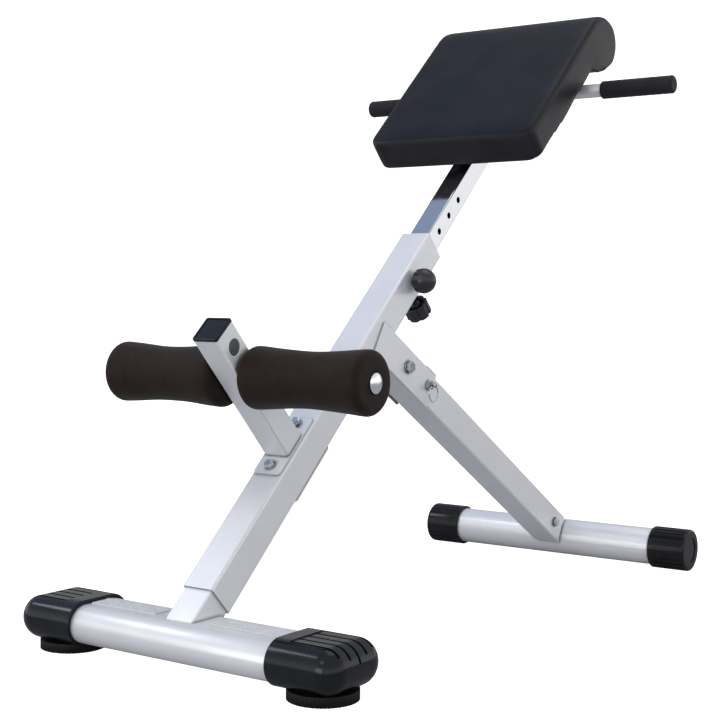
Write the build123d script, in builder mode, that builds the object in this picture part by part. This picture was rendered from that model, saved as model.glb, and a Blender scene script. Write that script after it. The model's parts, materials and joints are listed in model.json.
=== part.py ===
from build123d import *
import os
from math import sin, cos, asin, radians, pi

os.makedirs("parts", exist_ok=True)

# ---------------------------------------------------------------- sizes (mm)
y_shift = -466.975           # puts the middle of the overall length at Y = 0

main_size = 50.0            # square main tube
main_wall = 2.5
main_len = 682.0
main_tilt = 42.99           # degrees above horizontal
corner_r = 3.5              # outside corner of the square tubes

front_w, front_h = 100.0, 50.0      # flat oval front tube
front_wall = 2.0
front_y, front_z = -24.0, 41.1
front_half = 225.0
fcap_in, fcap_out = 161.0, 260.4
fcap_w, fcap_h, fcap_z = 110.0, 58.0, 42.4
foot_x, foot_r, foot_t = 207.0, 43.5, 12.5
stub_size, stub_wall = 45.0, 2.5

post_size, post_wall = 40.0, 2.0    # roller post
post_s = 239.9                      # its centre along the main tube
post_top = 241.9                    # its end, measured from the main tube axis
axle_m, spare_m = 159.2, 213.4
axle_r, axle_wall = 11.1, 2.0
axle_half = 208.3
roll_in, roll_out = 21.5, 210.3
roll_r, waist_r, roll_edge = 41.4, 36.3, 10.0

leg_w, leg_d, leg_wall = 49.4, 50.0, 2.2
leg_tilt = 31.0                     # degrees below horizontal
pivot_y = 428.7
leg_top, leg_end = -35.0, 605.0
rear_off = 639.6                    # pivot to rear tube centre, along the leg
rear_r, rear_wall, rear_half = 31.75, 2.0, 250.0
rcap_r, rcap_in, rcap_out = 36.0, 192.6, 259.0
pivot_z = rcap_r + rear_off * sin(radians(leg_tilt))     # rear caps stand on the floor
rear_bolt_a = 573.0

seat_size, seat_wall = 35.0, 2.0    # chrome seat post
seat_low, seat_high = 498.0, 1090.0
hole_pitch, hole_r = 38.1, 5.0
pin_s = 601.0
clamp_s = 608.0

bar_s, bar_m = 1069.0, -3.4         # handlebar centre
bar_r, bar_wall, bar_half = 11.1, 2.0, 287.0
grip_in, grip_out, grip_r = 167.0, 290.5, 14.5

pad_half = 150.0
pad_low, pad_high = 845.0, 1204.5
pad_bot, pad_top = 25.5, 79.8
carrier_t, carrier_w, carrier_half = 8.0, 40.0, 80.0
carrier_s = (898.0, 1040.0)

# ---------------------------------------------------------------- directions
A = radians(main_tilt)
tdir = Vector(0, cos(A), sin(A))            # up along the main tube
ndir = Vector(0, -sin(A), cos(A))           # out of its upper face
xdir = Vector(1, 0, 0)
main_o = Vector(0, -11.0 + y_shift, 102.4) - ndir * (main_size / 2)

L = radians(leg_tilt)
ddir = Vector(0, cos(L), -sin(L))           # down along the leg
udir = Vector(0, sin(L), cos(L))            # out of its upper face
pivot = Vector(0, pivot_y + y_shift, pivot_z)


def along_main(s):
    """Cross-section plane of the main tube: local x = X, local y = away from the user side."""
    return Plane(origin=main_o + tdir * s, x_dir=xdir, z_dir=tdir)


def side_main(x):
    """Side plane of the main tube: local x = along it, local y = out of its upper face."""
    return Plane(origin=main_o + xdir * x, x_dir=tdir, z_dir=xdir)


def up_post(m):
    """Cross-section plane of the roller post: local x = X, local y = along the main tube."""
    return Plane(origin=main_o + tdir * post_s + ndir * m, x_dir=xdir, z_dir=ndir)


def off_main(m):
    """Plane parallel to the main tube's upper face: local x = X, local y = along the main tube."""
    return Plane(origin=main_o + ndir * m, x_dir=xdir, z_dir=ndir)


def along_leg(a):
    """Cross-section plane of the leg: local x = X, local y = out of its lower face."""
    return Plane(origin=pivot + ddir * a, x_dir=xdir, z_dir=ddir)


def side_leg(x):
    """Side plane of the leg: local x = down along it, local y = out of its upper face."""
    return Plane(origin=pivot + xdir * x, x_dir=ddir, z_dir=xdir)


def front_section(x):
    """Cross-section plane of the front tube: local x = Y, local y = Z."""
    return Plane(origin=(x, front_y + y_shift, front_z), x_dir=(0, 1, 0), z_dir=(1, 0, 0))


rear_c = pivot + ddir * rear_off


def rear_section(x):
    return Plane(origin=rear_c + xdir * x, x_dir=(0, 1, 0), z_dir=(1, 0, 0))


def save(builder, name):
    builder.part.label = name
    export_step(builder.part, "parts/%s.step" % name)


# ================================================================ front stabiliser
with BuildPart() as front_stabiliser:
    with BuildSketch(front_section(-front_half)):
        SlotOverall(front_w, front_h)
        SlotOverall(front_w - 2 * front_wall, front_h - 2 * front_wall, mode=Mode.SUBTRACT)
    extrude(amount=2 * front_half)
    # clearance holes for the levelling studs
    with BuildSketch(Plane(origin=(0, front_y + y_shift, front_z - front_h / 2 - 1), x_dir=(1, 0, 0), z_dir=(0, 0, 1))):
        with Locations((-foot_x, 0), (foot_x, 0)):
            Circle(5.4)
    extrude(amount=6, mode=Mode.SUBTRACT)
save(front_stabiliser, "front_stabiliser")

with BuildPart() as stub_post:
    with BuildSketch(along_main(-62)):
        RectangleRounded(stub_size, stub_size, 2.5)
        RectangleRounded(stub_size - 2 * stub_wall, stub_size - 2 * stub_wall, 0.8, mode=Mode.SUBTRACT)
    extrude(amount=62 + 95)
    # the foot is coped to the oval tube
    with BuildSketch(front_section(-40)):
        SlotOverall(front_w, front_h)
    extrude(amount=80, mode=Mode.SUBTRACT)
save(stub_post, "stub_post")

# weld nuts inside the front tube take the levelling studs
with BuildPart() as foot_weld_nuts:
    with BuildSketch(Plane(origin=(0, front_y + y_shift, front_z - front_h / 2 + front_wall), x_dir=(1, 0, 0), z_dir=(0, 0, 1))):
        with Locations((-foot_x, 0), (foot_x, 0)):
            RegularPolygon(9.8, 6)
            Circle(5.05, mode=Mode.SUBTRACT)
    extrude(amount=9)
save(foot_weld_nuts, "foot_weld_nuts")

# ---------------------------------------------------------------- shoe-shaped end caps
cap_round = 27.0
band_end = 184.0            # plain band before the grooved panel
panel_step = 1.3
# distance from the middle, angle above horizontal where the groove runs out
grooves = ((-33.0, 39), (-16.5, 25), (0.0, 9), (16.5, 26), (33.0, 39))


def cap_plane(x, side):
    return Plane(origin=(side * x, front_y + y_shift, fcap_z), x_dir=(0, side, 0), z_dir=(side, 0, 0))


with BuildPart() as front_cap_right:
    with BuildSketch(cap_plane(fcap_in, 1)):
        SlotOverall(fcap_w, fcap_h)
    extrude(amount=fcap_out - fcap_in)
    fillet(front_cap_right.faces().sort_by(Axis.X)[-1].edges(), radius=cap_round)
    fillet(front_cap_right.faces().sort_by(Axis.X)[0].edges(), radius=1.5)
    # socket for the tube end
    with BuildSketch(front_section(fcap_in - 1)):
        SlotOverall(front_w + 0.1, front_h + 0.1)
    extrude(amount=front_half + 0.5 - fcap_in + 1, mode=Mode.SUBTRACT)
    # hole for the levelling stud
    with BuildSketch(Plane(origin=(foot_x, front_y + y_shift, 0), x_dir=(1, 0, 0), z_dir=(0, 0, 1))):
        Circle(6.0)
    extrude(amount=30, mode=Mode.SUBTRACT)
    # the panel between the grooves is stepped down from the band and fades out down the rounded end
    z_top = fcap_z + fcap_h / 2
    x_c, z_c = fcap_out - cap_round, z_top - cap_round
    b_in = cap_round - panel_step
    with BuildSketch(Plane(origin=(0, front_y + y_shift - 42, 0), x_dir=(1, 0, 0), z_dir=(0, -1, 0))):
        with BuildLine():
            Polyline((band_end, z_top - panel_step), (band_end, z_top + 3), (fcap_out + 4, z_top + 3),
                     (fcap_out + 4, z_c), (fcap_out, z_c))
            ThreePointArc((fcap_out, z_c), (x_c + cap_round * sin(pi / 4), z_c + b_in * cos(pi / 4)), (x_c, z_top - panel_step))
            Line((x_c, z_top - panel_step), (band_end, z_top - panel_step))
        make_face()
    extrude(amount=-84, mode=Mode.SUBTRACT)
    # grooves along the top and down the rounded end
    for gy, stop in grooves:
        depth = 3.6
        r_in, r_out = cap_round - depth, cap_round + 3
        drop = radians(stop)
        half = (pi / 2 + drop) / 2
        with BuildSketch(Plane(origin=(0, front_y + y_shift + gy - 2.1, 0), x_dir=(1, 0, 0), z_dir=(0, -1, 0))):
            with BuildLine():
                Polyline((band_end, z_top - depth), (band_end, z_top + 3), (x_c, z_top + 3))
                ThreePointArc((x_c, z_top + 3), (x_c + r_out * cos(half), z_c + r_out * sin(half)),
                              (x_c + r_out * cos(drop), z_c + r_out * sin(drop)))
                Line((x_c + r_out * cos(drop), z_c + r_out * sin(drop)), (x_c + r_in * cos(drop), z_c + r_in * sin(drop)))
                ThreePointArc((x_c + r_in * cos(drop), z_c + r_in * sin(drop)),
                              (x_c + r_in * cos(half), z_c + r_in * sin(half)), (x_c, z_top - depth))
                Line((x_c, z_top - depth), (band_end, z_top - depth))
            make_face()
        extrude(amount=-4.2, mode=Mode.SUBTRACT)
save(front_cap_right, "front_cap_right")

with BuildPart() as front_cap_left:
    add(mirror(front_cap_right.part, about=Plane.YZ, mode=Mode.PRIVATE))
save(front_cap_left, "front_cap_left")

# ---------------------------------------------------------------- anti-slip strips
strip_z = front_z + front_h / 2
with BuildPart() as grip_strips:
    with BuildSketch(Plane(origin=(0, front_y + y_shift + 3, strip_z), x_dir=(1, 0, 0), z_dir=(0, 0, 1))):
        with Locations((-102.9, 0), (102.9, 0)):
            RectangleRounded(111.8, 34, 1.5)
    extrude(amount=1.2)
    # raised lozenges, leaning one way and then the other
    for side in (-1, 1):
        for k in range(6):
            for row in range(2):
                with BuildSketch(Plane(origin=(side * (57.0 + 18.9 * k + 3 * row), front_y + y_shift + 3 - 8 + 16 * row, strip_z + 1.2),
                                       x_dir=(1, 0, 0), z_dir=(0, 0, 1)).rotated((0, 0, 45 if (k + row) % 2 else -45))):
                    SlotOverall(10, 2.8)
                extrude(amount=0.6)
save(grip_strips, "grip_strips")


# ---------------------------------------------------------------- levelling feet
def foot_profile(side):
    return Plane(origin=(side * foot_x, front_y + y_shift, 0), x_dir=(1, 0, 0), z_dir=(0, 0, 1))


with BuildPart() as levelling_foot_right:
    with BuildSketch(foot_profile(1)):
        Circle(foot_r)
        with PolarLocations(foot_r + 0.35, 60):
            Circle(1.25, mode=Mode.SUBTRACT)
    extrude(amount=foot_t)
    with BuildSketch(foot_profile(1).offset(foot_t)):
        Circle(5.0)
    extrude(amount=38)
save(levelling_foot_right, "levelling_foot_right")

with BuildPart() as levelling_foot_left:
    add(mirror(levelling_foot_right.part, about=Plane.YZ, mode=Mode.PRIVATE))
save(levelling_foot_left, "levelling_foot_left")

# ================================================================ main tube
with BuildPart() as main_tube:
    with BuildSketch(along_main(0)):
        RectangleRounded(main_size, main_size, corner_r)
        RectangleRounded(main_size - 2 * main_wall, main_size - 2 * main_wall, 1.2, mode=Mode.SUBTRACT)
    extrude(amount=main_len)
    # roller post bolts, front to back
    with BuildSketch(off_main(-main_size / 2 - 1)):
        with Locations((0, post_s - 37), (0, post_s + 39)):
            Circle(4.2)
    extrude(amount=main_size + 2, mode=Mode.SUBTRACT)
    # clamp screw hole in the back face
    with BuildSketch(off_main(-main_size / 2 - 1)):
        with Locations((0, clamp_s)):
            Circle(4.6)
    extrude(amount=8, mode=Mode.SUBTRACT)
    # pop-pin hole in the right side
    with BuildSketch(side_main(main_size / 2 - 6)):
        with Locations((pin_s, 0)):
            Circle(6.0)
    extrude(amount=8, mode=Mode.SUBTRACT)
save(main_tube, "main_tube")

with BuildPart() as guide_bush:
    with BuildSketch(along_main(626)):
        RectangleRounded(main_size - 2 * main_wall, main_size - 2 * main_wall, 1.2)
        RectangleRounded(seat_size + 0.1, seat_size + 0.1, 2.0, mode=Mode.SUBTRACT)
    extrude(amount=main_len - 626 - 1.0)
save(guide_bush, "guide_bush")

with BuildPart() as pin_ferrule:
    with BuildSketch(side_main(main_size / 2 - main_wall)):
        with Locations((pin_s, 0)):
            Circle(6.0)
            Circle(4.05, mode=Mode.SUBTRACT)
    extrude(amount=main_wall + 3.6)
save(pin_ferrule, "pin_ferrule")

with BuildPart() as clamp_weld_nut:
    with BuildSketch(off_main(-main_size / 2 - 7.5)):
        with Locations((0, clamp_s)):
            RegularPolygon(7.5, 6)
            Circle(4.05, mode=Mode.SUBTRACT)
    extrude(amount=7.5)
save(clamp_weld_nut, "clamp_weld_nut")

# ================================================================ roller post
plate_t = 3.0
with BuildPart() as roller_post:
    with BuildSketch(up_post(main_size / 2 + plate_t)):
        RectangleRounded(post_size, post_size, 3.0)
        RectangleRounded(post_size - 2 * post_wall, post_size - 2 * post_wall, 1.0, mode=Mode.SUBTRACT)
    extrude(amount=post_top - main_size / 2 - plate_t)
    # cross holes: roller axle and the spare position
    with BuildSketch(side_main(-post_size / 2 - 1)):
        with Locations((post_s, axle_m), (post_s, spare_m)):
            Circle(axle_r + 0.1)
    extrude(amount=post_size + 2, mode=Mode.SUBTRACT)
save(roller_post, "roller_post")

with BuildPart() as post_base_plate:
    with BuildSketch(off_main(main_size / 2)):
        with Locations((0, post_s - 0.4)):
            RectangleRounded(44, 102, 5)
        with Locations((0, post_s - 37), (0, post_s + 39)):
            Circle(4.2, mode=Mode.SUBTRACT)
    extrude(amount=plate_t)
save(post_base_plate, "post_base_plate")

with BuildPart() as post_back_plate:
    with BuildSketch(off_main(-main_size / 2 - plate_t)):
        with Locations((0, post_s - 1)):
            RectangleRounded(48, 100, 4)
        with Locations((0, post_s - 37), (0, post_s + 39)):
            Circle(4.2, mode=Mode.SUBTRACT)
    extrude(amount=plate_t)
save(post_back_plate, "post_back_plate")

with BuildPart() as post_bolts:
    with BuildSketch(off_main(-main_size / 2 - plate_t - 10.5)):
        with Locations((0, post_s - 37), (0, post_s + 39)):
            Circle(4.0)
    extrude(amount=main_size + 2 * plate_t + 10.5 + 1.6)
    with BuildSketch(off_main(main_size / 2 + plate_t + 1.6)):
        with Locations((0, post_s - 37), (0, post_s + 39)):
            RegularPolygon(7.5, 6)
    extrude(amount=5.3)
    chamfer(post_bolts.faces().filter_by(ndir_axis := Axis((0, 0, 0), tuple(ndir))).sort_by(ndir_axis)[-2:].edges(), length=0.8)
save(post_bolts, "post_bolts")

with BuildPart() as post_nuts:
    with BuildSketch(off_main(-main_size / 2 - plate_t - 1.6 - 6.5)):
        with Locations((0, post_s - 37), (0, post_s + 39)):
            RegularPolygon(7.5, 6)
            Circle(4.0, mode=Mode.SUBTRACT)
    extrude(amount=6.5)
save(post_nuts, "post_nuts")

with BuildPart() as post_washers:
    for m in (main_size / 2 + plate_t, -main_size / 2 - plate_t - 1.6):
        with BuildSketch(off_main(m)):
            with Locations((0, post_s - 37), (0, post_s + 39)):
                Circle(8.4)
                Circle(4.0, mode=Mode.SUBTRACT)
        extrude(amount=1.6)
save(post_washers, "post_washers")

with BuildPart() as post_end_cap:
    with BuildSketch(up_post(post_top)):
        RectangleRounded(post_size + 0.6, post_size + 0.6, 3.2)
    extrude(amount=4.0)
    fillet(post_end_cap.faces().sort_by(ndir_axis)[-1].edges(), radius=1.2)
    # shallow tray in the top face
    with BuildSketch(up_post(post_top + 3.2)):
        RectangleRounded(post_size - 6, post_size - 6, 2.5)
    extrude(amount=2, mode=Mode.SUBTRACT)
    # plug that grips the inside of the tube
    with BuildSketch(up_post(post_top - 13)):
        RectangleRounded(post_size - 2 * post_wall, post_size - 2 * post_wall, 1.0)
        RectangleRounded(post_size - 2 * post_wall - 5, post_size - 2 * post_wall - 5, 0.8, mode=Mode.SUBTRACT)
    extrude(amount=13)
save(post_end_cap, "post_end_cap")

# ---------------------------------------------------------------- axle and its caps
with BuildPart() as roller_axle:
    with BuildSketch(side_main(-axle_half)):
        with Locations((post_s, axle_m)):
            Circle(axle_r)
            Circle(axle_r - axle_wall, mode=Mode.SUBTRACT)
    extrude(amount=2 * axle_half)
save(roller_axle, "roller_axle")

axle_c = main_o + tdir * post_s + ndir * axle_m


def axle_profile(side):
    """Plane holding the axle line: local x = outward along it, local y = radius."""
    return Plane(origin=axle_c, x_dir=(side, 0, 0), z_dir=(0, -side, 0))


# domed face: a sphere centred on the axle line
dome_r = (3.4 ** 2 + 13.0 ** 2) / (2 * 3.4)
dome_c = axle_half + 7.6 - dome_r
dome_a = asin(13.0 / dome_r) / 2
with BuildPart() as axle_cap_right:
    with BuildSketch(axle_profile(1)):
        with BuildLine():
            Polyline((axle_half - 12, 0), (axle_half - 12, axle_r - axle_wall), (axle_half + 2.3, axle_r - axle_wall),
                     (axle_half + 2.3, 13.0), (axle_half + 4.2, 13.0))
            ThreePointArc((axle_half + 4.2, 13.0), (dome_c + dome_r * cos(dome_a), dome_r * sin(dome_a)), (axle_half + 7.6, 0))
            Line((axle_half + 7.6, 0), (axle_half - 12, 0))
        make_face()
    revolve(axis=Axis(axle_c, (1, 0, 0)), revolution_arc=360)
save(axle_cap_right, "axle_cap_right")

with BuildPart() as axle_cap_left:
    add(mirror(axle_cap_right.part, about=Plane.YZ, mode=Mode.PRIVATE))
save(axle_cap_left, "axle_cap_left")

# ---------------------------------------------------------------- foam rollers
with BuildPart() as roller_sleeve_right:
    with BuildSketch(side_main(roll_in)):
        with Locations((post_s, axle_m)):
            Circle(12.9)
            Circle(axle_r + 0.05, mode=Mode.SUBTRACT)
    extrude(amount=roll_out - roll_in)
save(roller_sleeve_right, "roller_sleeve_right")

with BuildPart() as roller_sleeve_left:
    add(mirror(roller_sleeve_right.part, about=Plane.YZ, mode=Mode.PRIVATE))
save(roller_sleeve_left, "roller_sleeve_left")

mid_x = (roll_in + roll_out) / 2
with BuildPart() as foam_roller_right:
    with BuildSketch(axle_profile(1)):
        with BuildLine():
            Polyline((roll_out - 0.5, 12.95), (roll_in + 0.5, 12.95), (roll_in + 0.5, roll_r - roll_edge))
            ThreePointArc((roll_in + 0.5, roll_r - roll_edge),
                          (roll_in + 0.5 + roll_edge * (1 - cos(pi / 4)), roll_r - roll_edge * (1 - sin(pi / 4))),
                          (roll_in + 0.5 + roll_edge, roll_r))
            Spline((roll_in + 0.5 + roll_edge, roll_r), (mid_x - 52, waist_r + 2.3), (mid_x - 26, waist_r + 0.6), (mid_x, waist_r),
                   (mid_x + 26, waist_r + 0.6), (mid_x + 52, waist_r + 2.3), (roll_out - 0.5 - roll_edge, roll_r),
                   tangents=[(1, 0), (1, 0)])
            ThreePointArc((roll_out - 0.5 - roll_edge, roll_r),
                          (roll_out - 0.5 - roll_edge * (1 - cos(pi / 4)), roll_r - roll_edge * (1 - sin(pi / 4))),
                          (roll_out - 0.5, roll_r - roll_edge))
            Line((roll_out - 0.5, roll_r - roll_edge), (roll_out - 0.5, 12.95))
        make_face()
    revolve(axis=Axis(axle_c, (1, 0, 0)), revolution_arc=360)
save(foam_roller_right, "foam_roller_right")

with BuildPart() as foam_roller_left:
    add(mirror(foam_roller_right.part, about=Plane.YZ, mode=Mode.PRIVATE))
save(foam_roller_left, "foam_roller_left")

# ================================================================ hinge bracket
plate_x, brk_t = main_size / 2, 2.5
pin_a, pin_w = 63.4, 3.0
with BuildPart() as bracket_plate_right:
    with BuildSketch(side_leg(plate_x)):
        with Locations((-5.5, -0.7)):
            RectangleRounded(167, 52.6, 3)
        Circle(5.05, mode=Mode.SUBTRACT)
        with Locations((pin_a, pin_w)):
            Circle(4.05, mode=Mode.SUBTRACT)
    extrude(amount=brk_t)
save(bracket_plate_right, "bracket_plate_right")

with BuildPart() as bracket_plate_left:
    with BuildSketch(side_leg(-plate_x - brk_t)):
        with Locations((-5.5, -0.7)):
            RectangleRounded(167, 52.6, 3)
        Circle(5.05, mode=Mode.SUBTRACT)
    extrude(amount=brk_t)
save(bracket_plate_left, "bracket_plate_left")

with BuildPart() as stop_bridge:
    with BuildSketch(side_leg(-plate_x - brk_t)):
        with Locations((62.0, 27.1)):
            Rectangle(30, 3.0)
    extrude(amount=2 * (plate_x + brk_t))
save(stop_bridge, "stop_bridge")

with BuildPart() as pivot_bolt:
    with BuildSketch(side_leg(-39)):
        Circle(5.0)
    extrude(amount=39 + plate_x + brk_t + 2.0)
    with BuildSketch(side_leg(plate_x + brk_t + 2.0)):
        RegularPolygon(9.2, 6)
    extrude(amount=6.4)
    chamfer(pivot_bolt.faces().sort_by(Axis.X)[-1].edges(), length=1.0)
save(pivot_bolt, "pivot_bolt")

with BuildPart() as pivot_washers:
    for x in (plate_x + brk_t, -plate_x - brk_t - 2.0):
        with BuildSketch(side_leg(x)):
            Circle(10.0)
            Circle(5.0, mode=Mode.SUBTRACT)
        extrude(amount=2.0)
save(pivot_washers, "pivot_washers")

with BuildPart() as pivot_nut:
    with BuildSketch(side_leg(-plate_x - brk_t - 2.0 - 8.4)):
        RegularPolygon(9.2, 6)
        Circle(5.0, mode=Mode.SUBTRACT)
    extrude(amount=8.4)
save(pivot_nut, "pivot_nut")

# ---------------------------------------------------------------- spring plunger that locks the leg
with BuildPart() as plunger_housing:
    with BuildSketch(side_leg(plate_x + brk_t)):
        with Locations((pin_a, pin_w)):
            RegularPolygon(7.6, 6)
            Circle(4.05, mode=Mode.SUBTRACT)
    extrude(amount=4.5)
save(plunger_housing, "plunger_housing")

ring_x = 38.0
pin_c = pivot + ddir * pin_a + udir * pin_w
with BuildPart() as lock_plunger:
    with BuildSketch(side_leg(plate_x + 0.1)):
        with Locations((pin_a, pin_w)):
            Circle(4.0)
    extrude(amount=ring_x + 4.5 - plate_x - 0.1)
    fillet(lock_plunger.faces().sort_by(Axis.X)[-1].edges(), radius=1.2)
    with BuildSketch(side_leg(plate_x + brk_t + 4.8)):
        with Locations((pin_a, pin_w)):
            Circle(6.3)
    extrude(amount=2.4)
    # cross hole for the pull ring
    with BuildSketch(Plane(origin=pin_c + Vector(ring_x, -6, 0), x_dir=(1, 0, 0), z_dir=(0, 1, 0))):
        Circle(1.9)
    extrude(amount=12, mode=Mode.SUBTRACT)
save(lock_plunger, "lock_plunger")

ring_r, ring_wire = 12.5, 1.0
ring_c = pin_c + Vector(ring_x, 0, -ring_r)
with BuildPart() as pull_ring:
    with BuildSketch(Plane(origin=ring_c, x_dir=(1, 0, 0), z_dir=(0, -1, 0))):
        with Locations((0, ring_r)):
            Circle(ring_wire)
    revolve(axis=Axis(ring_c, (1, 0, 0)), revolution_arc=360)
save(pull_ring, "pull_ring")

# ================================================================ rear leg
with BuildPart() as rear_leg:
    with BuildSketch(along_leg(leg_top)):
        RectangleRounded(leg_w, leg_d, corner_r)
        RectangleRounded(leg_w - 2 * leg_wall, leg_d - 2 * leg_wall, 1.3, mode=Mode.SUBTRACT)
    extrude(amount=leg_end - leg_top)
    with BuildSketch(side_leg(-leg_w / 2 - 1)):
        Circle(5.05)
        with Locations((rear_bolt_a, 0)):
            Circle(4.2)
    extrude(amount=leg_w + 2, mode=Mode.SUBTRACT)
    # plunger hole in the right wall
    with BuildSketch(side_leg(leg_w / 2 - 4)):
        with Locations((pin_a, pin_w)):
            Circle(4.6)
    extrude(amount=6, mode=Mode.SUBTRACT)
save(rear_leg, "rear_leg")

with BuildPart() as rear_stub:
    with BuildSketch(along_leg(525)):
        RectangleRounded(leg_w - 2 * leg_wall, leg_d - 2 * leg_wall, 1.3)
        RectangleRounded(leg_w - 2 * leg_wall - 5, leg_d - 2 * leg_wall - 5, 0.6, mode=Mode.SUBTRACT)
    extrude(amount=rear_off - 525)
    with BuildSketch(rear_section(-40)):
        Circle(rear_r)
    extrude(amount=80, mode=Mode.SUBTRACT)
    with BuildSketch(side_leg(-leg_w / 2 - 1)):
        with Locations((rear_bolt_a, 0)):
            Circle(4.2)
    extrude(amount=leg_w + 2, mode=Mode.SUBTRACT)
save(rear_stub, "rear_stub")

with BuildPart() as rear_stabiliser:
    with BuildSketch(rear_section(-rear_half)):
        Circle(rear_r)
        Circle(rear_r - rear_wall, mode=Mode.SUBTRACT)
    extrude(amount=2 * rear_half)
save(rear_stabiliser, "rear_stabiliser")

with BuildPart() as rear_cap_right:
    with BuildSketch(rear_section(rcap_in)):
        Circle(rcap_r)
    extrude(amount=rcap_out - rcap_in)
    fillet(rear_cap_right.faces().sort_by(Axis.X)[-1].edges(), radius=4.0)
    fillet(rear_cap_right.faces().sort_by(Axis.X)[0].edges(), radius=1.2)
    # lengthwise grooves leave the ribs standing
    with BuildSketch(rear_section(rcap_in + 7)):
        with PolarLocations(rcap_r + 0.4, 24, start_angle=7.5):
            Rectangle(3.0, 3.4)
    extrude(amount=rcap_out - rcap_in - 12, mode=Mode.SUBTRACT)
    # socket for the tube and a recess in the end face
    with BuildSketch(rear_section(rcap_in - 1)):
        Circle(rear_r + 0.05)
    extrude(amount=rear_half + 0.4 - rcap_in + 1, mode=Mode.SUBTRACT)
    with BuildSketch(rear_section(rcap_out - 1.6)):
        Circle(22.5)
    extrude(amount=3, mode=Mode.SUBTRACT)
save(rear_cap_right, "rear_cap_right")

with BuildPart() as rear_cap_left:
    add(mirror(rear_cap_right.part, about=Plane.YZ, mode=Mode.PRIVATE))
save(rear_cap_left, "rear_cap_left")

with BuildPart() as rear_bolt:
    with BuildSketch(side_leg(-leg_w / 2 - 10)):
        with Locations((rear_bolt_a, 0)):
            Circle(4.0)
    extrude(amount=leg_w + 10 + 1.6)
    with BuildSketch(side_leg(leg_w / 2 + 1.6)):
        with Locations((rear_bolt_a, 0)):
            RegularPolygon(7.5, 6)
    extrude(amount=5.3)
    chamfer(rear_bolt.faces().sort_by(Axis.X)[-1].edges(), length=0.8)
save(rear_bolt, "rear_bolt")

with BuildPart() as rear_washers:
    for x in (leg_w / 2, -leg_w / 2 - 1.6):
        with BuildSketch(side_leg(x)):
            with Locations((rear_bolt_a, 0)):
                Circle(8.6)
                with PolarLocations(9.0, 16):
                    Circle(0.9, mode=Mode.SUBTRACT)
                with Locations((0, 0)):
                    Circle(4.0, mode=Mode.SUBTRACT)
        extrude(amount=1.6)
save(rear_washers, "rear_washers")

with BuildPart() as rear_nut:
    with BuildSketch(side_leg(-leg_w / 2 - 1.6 - 6.5)):
        with Locations((rear_bolt_a, 0)):
            RegularPolygon(7.5, 6)
            Circle(4.0, mode=Mode.SUBTRACT)
    extrude(amount=6.5)
save(rear_nut, "rear_nut")

# ================================================================ seat post
with BuildPart() as seat_post:
    with BuildSketch(along_main(seat_low)):
        RectangleRounded(seat_size, seat_size, 2.2)
        RectangleRounded(seat_size - 2 * seat_wall, seat_size - 2 * seat_wall, 0.8, mode=Mode.SUBTRACT)
    extrude(amount=seat_high - seat_low)
    with BuildSketch(side_main(-seat_size / 2 - 1)):
        with Locations(*[(pin_s + k * hole_pitch, 0) for k in range(-2, 6)]):
            Circle(hole_r)
        with Locations((bar_s, bar_m)):
            Circle(bar_r)
    extrude(amount=seat_size + 2, mode=Mode.SUBTRACT)
save(seat_post, "seat_post")

with BuildPart() as lower_glide:
    with BuildSketch(along_main(seat_low - 8)):
        RectangleRounded(main_size - 2 * main_wall - 0.1, main_size - 2 * main_wall - 0.1, 1.2)
    extrude(amount=8)
    with BuildSketch(along_main(seat_low)):
        RectangleRounded(main_size - 2 * main_wall - 0.1, main_size - 2 * main_wall - 0.1, 1.2)
        RectangleRounded(seat_size, seat_size, 2.2, mode=Mode.SUBTRACT)
    extrude(amount=16)
save(lower_glide, "lower_glide")

with BuildPart() as post_top_plug:
    with BuildSketch(along_main(seat_high)):
        RectangleRounded(seat_size, seat_size, 2.2)
    extrude(amount=2.5)
    with BuildSketch(along_main(seat_high - 8)):
        RectangleRounded(seat_size - 2 * seat_wall, seat_size - 2 * seat_wall, 0.8)
    extrude(amount=8)
save(post_top_plug, "post_top_plug")

# ---------------------------------------------------------------- handlebar and grips
with BuildPart() as handlebar:
    with BuildSketch(side_main(-bar_half)):
        with Locations((bar_s, bar_m)):
            Circle(bar_r)
            Circle(bar_r - bar_wall, mode=Mode.SUBTRACT)
    extrude(amount=2 * bar_half)
save(handlebar, "handlebar")

with BuildPart() as grip_right:
    with BuildSketch(side_main(grip_in)):
        with Locations((bar_s, bar_m)):
            Circle(grip_r)
    extrude(amount=grip_out - grip_in)
    fillet(grip_right.faces().sort_by(Axis.X)[-1].edges(), radius=3.0)
    fillet(grip_right.faces().sort_by(Axis.X)[0].edges(), radius=1.5)
    with BuildSketch(side_main(grip_in - 1)):
        with Locations((bar_s, bar_m)):
            Circle(bar_r + 0.1)
    extrude(amount=bar_half + 0.3 - grip_in + 1, mode=Mode.SUBTRACT)
save(grip_right, "grip_right")

with BuildPart() as grip_left:
    add(mirror(grip_right.part, about=Plane.YZ, mode=Mode.PRIVATE))
save(grip_left, "grip_left")

# ---------------------------------------------------------------- pad
with BuildPart() as pad_carriers:
    with BuildSketch(off_main(seat_size / 2)):
        with Locations(*[(0, s) for s in carrier_s]):
            RectangleRounded(2 * carrier_half, carrier_w, 4)
        with Locations(*[(x, s) for s in carrier_s for x in (-60, 60)]):
            Circle(3.2, mode=Mode.SUBTRACT)
    extrude(amount=carrier_t)
save(pad_carriers, "pad_carriers")

board_low, board_high, board_half, board_t = 860.0, 1080.0, 138.0, 12.0
with BuildPart() as pad_board:
    with BuildSketch(off_main(pad_bot)):
        with Locations((0, (board_low + board_high) / 2)):
            RectangleRounded(2 * board_half, board_high - board_low, 20)
        with Locations(*[(x, s) for s in carrier_s for x in (-60, 60)]):
            Circle(3.0, mode=Mode.SUBTRACT)
    extrude(amount=board_t)
save(pad_board, "pad_board")

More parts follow.
